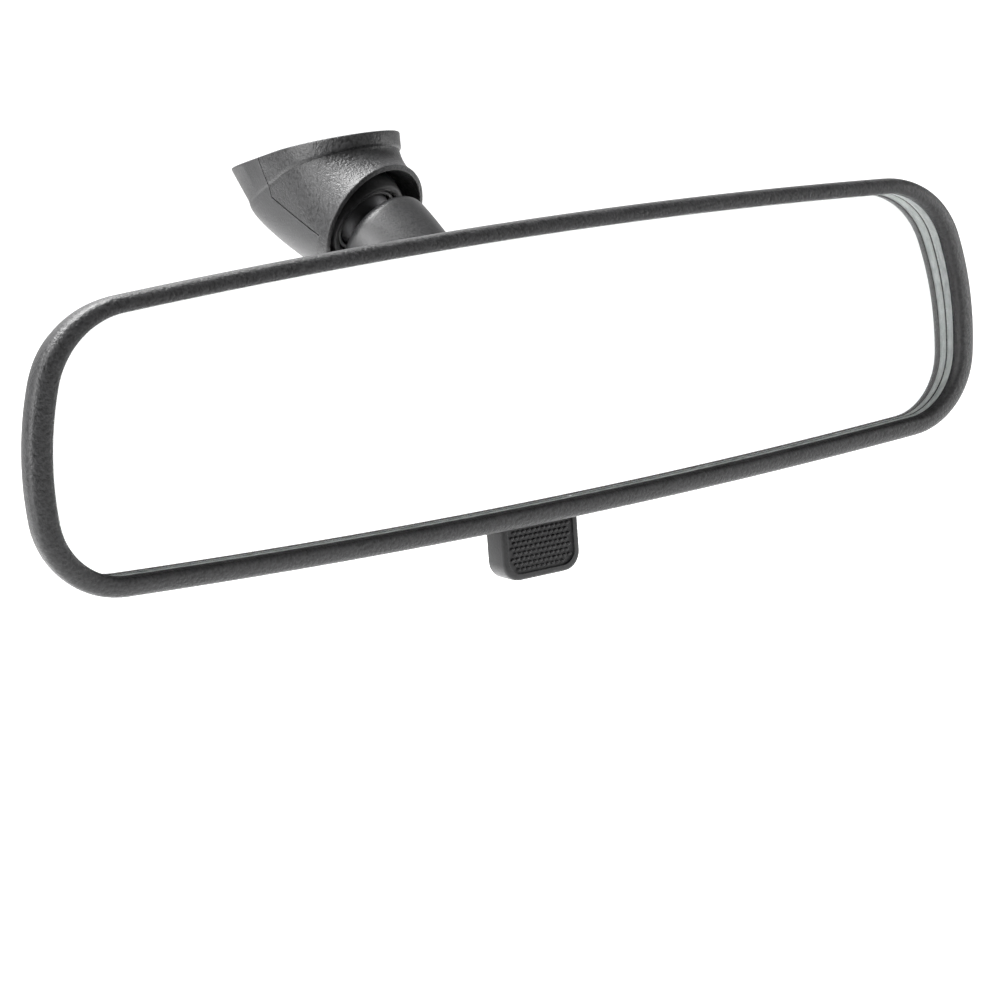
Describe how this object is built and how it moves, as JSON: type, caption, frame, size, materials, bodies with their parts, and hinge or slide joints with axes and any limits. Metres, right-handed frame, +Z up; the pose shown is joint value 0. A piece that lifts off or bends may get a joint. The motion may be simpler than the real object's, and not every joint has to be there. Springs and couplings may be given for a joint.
{
  "type": "interior rearview mirror",
  "caption": "Wide framed day and night rearview mirror on a short double-ball arm with a slide-on windscreen bracket.",
  "frame": {"origin": "centre of the flat seat in the bracket that rests on the windscreen button", "axes": "+X along the glass to the driver's right, -Y out of the glass towards the driver, +Z up; the bracket's seat faces up and 12 degrees forwards"},
  "size_m": [0.2468, 0.0931, 0.0976],
  "materials": {
    "bezel_plastic": "fine moulded grain",
    "mirror_glass": "polished",
    "silver": "polished",
    "foam": "open cell",
    "case_plastic": "fine moulded grain",
    "steel": "zinc plated",
    "lever_plastic": "satin, ribbed tab",
    "spring_steel": "oiled",
    "inner_plastic": "moulded",
    "socket_metal": "die-cast, satin",
    "nylon": "moulded",
    "arm_plastic": "satin",
    "mount_plastic": "fine moulded grain",
    "cover_plastic": "satin",
    "clip_plastic": "gloss"
  },
  "bodies": {
    "mount": {"mount_body": "mount_plastic", "mount_cover": "cover_plastic", "upper_socket_seat": "inner_plastic", "seat_screw_left": "steel", "seat_screw_right": "steel", "clip_anchor": "inner_plastic"},
    "clip": {"spring_clip": "clip_plastic"},
    "upper_liner": {"upper_ball_liner": "nylon"},
    "arm": {"arm_sleeve": "arm_plastic", "lower_ball_stud": "steel", "upper_ball_stud": "steel"},
    "lower_liner": {"lower_ball_liner": "nylon"},
    "socket": {"socket_cup": "socket_metal", "socket_clamp_ring": "spring_steel"},
    "plate": {"toggle_plate": "inner_plastic", "socket_retainer": "inner_plastic", "retainer_screw_left": "steel", "retainer_screw_right": "steel"},
    "head": {"bezel_frame": "bezel_plastic", "rear_case": "case_plastic", "prism_glass": "mirror_glass", "silver_backing": "silver", "glass_pad_left": "foam", "glass_pad_right": "foam", "hinge_pin_left": "steel", "hinge_pin_right": "steel", "lever_pivot_pin": "steel"},
    "lever": {"toggle_lever": "lever_plastic", "toggle_spring": "spring_steel"}
  },
  "joints": [
    {"name": "clip_release", "type": "hinge", "parent": "mount", "child": "clip", "pos_m": [0, 0.00478, -0.00061], "axis": [-1, 0, 0], "range_deg": [0, 6], "stiffness_Nm_per_rad": 0.2},
    {"name": "upper_yaw", "type": "hinge", "parent": "mount", "child": "upper_liner", "pos_m": [0, -0.014, -0.0084], "axis": [0, 0, 1], "range_deg": [-8, 8]},
    {"name": "upper_pitch", "type": "hinge", "parent": "upper_liner", "child": "arm", "pos_m": [0, -0.014, -0.0084], "axis": [1, 0, 0], "range_deg": [-12, 2]},
    {"name": "lower_yaw", "type": "hinge", "parent": "arm", "child": "lower_liner", "pos_m": [0.01, -0.053, -0.0371], "axis": [0, 0, 1], "range_deg": [-11, 11]},
    {"name": "lower_pitch", "type": "hinge", "parent": "lower_liner", "child": "socket", "pos_m": [0.01, -0.053, -0.0371], "axis": [1, 0, 0], "range_deg": [-7, 10]},
    {"name": "head_roll", "type": "hinge", "parent": "socket", "child": "plate", "pos_m": [0.01, -0.053, -0.0371], "axis": [0, 1, 0], "range_deg": [-8, 8]},
    {"name": "case_tilt", "type": "hinge", "parent": "plate", "child": "head", "pos_m": [0.01, -0.0591, -0.0197], "axis": [1, 0, 0], "range_deg": [0, 4.5]},
    {"name": "lever_flip", "type": "hinge", "parent": "head", "child": "lever", "pos_m": [0.01, -0.0595, -0.0646], "axis": [1, 0, 0], "range_deg": [0, 30.1]}
  ],
  "couplings": [
    {"joint": "lever_flip", "follows": "case_tilt", "ratio": 6.67}
  ]
}
